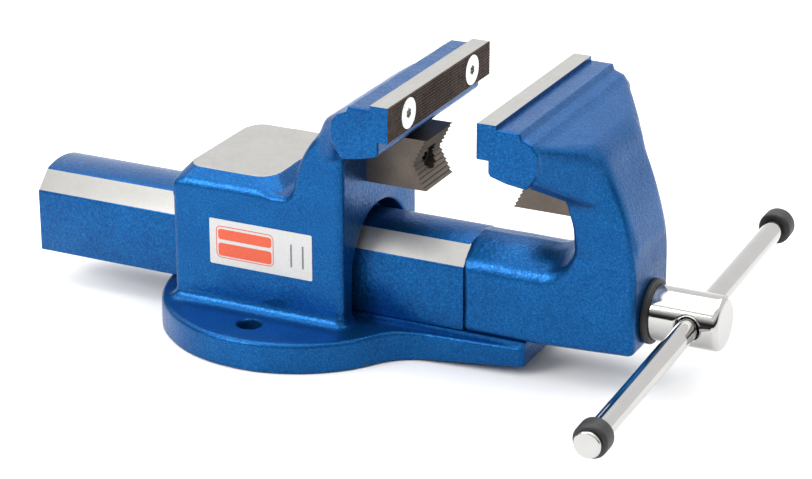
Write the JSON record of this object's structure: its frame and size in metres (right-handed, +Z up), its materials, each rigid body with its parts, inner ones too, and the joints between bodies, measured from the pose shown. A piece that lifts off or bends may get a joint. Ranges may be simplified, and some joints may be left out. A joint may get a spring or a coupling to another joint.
{
  "type": "bench vise",
  "caption": "Bench vise with a prismatic slide, replaceable serrated jaw plates, pipe jaws, an anvil, a round flange base and a sliding tommy bar.",
  "frame": {"origin": "on the bench face, midway between the two bench bolt holes", "axes": "+X along the spindle towards the handle, +Y away from the labelled side, +Z up from the bench"},
  "size_m": [0.4, 0.2866, 0.151],
  "materials": {
    "paint_blue": "hammered gloss paint on forged steel; guide bands, anvil and ledge seats ground bright",
    "jaw_steel": "hardened, darkened and finely serrated, top edge ground",
    "tool_steel": "hardened, brown-grey, satin",
    "bright_steel": "zinc-plated, satin",
    "black_steel": "black oxide, satin",
    "bronze": "turned, matte",
    "chromed_steel": "polished",
    "black_rubber": "matte",
    "label": "printed film, satin"
  },
  "bodies": {
    "base": {"fixed_body": "paint_blue", "fixed_jaw_plate": "jaw_steel", "fixed_plate_screws": "bright_steel", "fixed_pipe_jaw": "tool_steel", "fixed_pipe_jaw_screw": "black_steel", "spindle_nut": "bronze", "nut_screws": "black_steel", "guide_gib": "bright_steel", "gib_screws": "black_steel", "side_label": "label"},
    "sliding_jaw": {"moving_jaw": "paint_blue", "moving_jaw_plate": "jaw_steel", "moving_plate_screws": "bright_steel", "moving_pipe_jaw": "tool_steel", "moving_pipe_jaw_screw": "black_steel", "front_bush": "bronze"},
    "screw": {"spindle": "chromed_steel", "thrust_washer": "bright_steel", "front_collar": "black_rubber", "retaining_collar": "black_steel", "collar_pin": "bright_steel"},
    "handle": {"tommy_bar": "chromed_steel", "end_cap_near": "chromed_steel", "end_cap_far": "chromed_steel", "rubber_ring_near": "black_rubber", "rubber_ring_far": "black_rubber"}
  },
  "joints": [
    {"name": "jaw_slide", "type": "slide", "parent": "base", "child": "sliding_jaw", "axis": [1, 0, 0], "range_m": [-0.0475, 0.1025]},
    {"name": "spindle_turn", "type": "hinge", "parent": "sliding_jaw", "child": "screw", "pos_m": [0.2, 0, 0.0393], "axis": [1, 0, 0], "range_deg": [-3420.5, 7380.5]},
    {"name": "bar_slide", "type": "slide", "parent": "screw", "child": "handle", "axis": [0, 0.999, 0.0436], "range_m": [-0.108, 0.119]}
  ],
  "couplings": [
    {"joint": "spindle_turn", "follows": "jaw_slide", "rad_per_m": 1256.6}
  ]
}
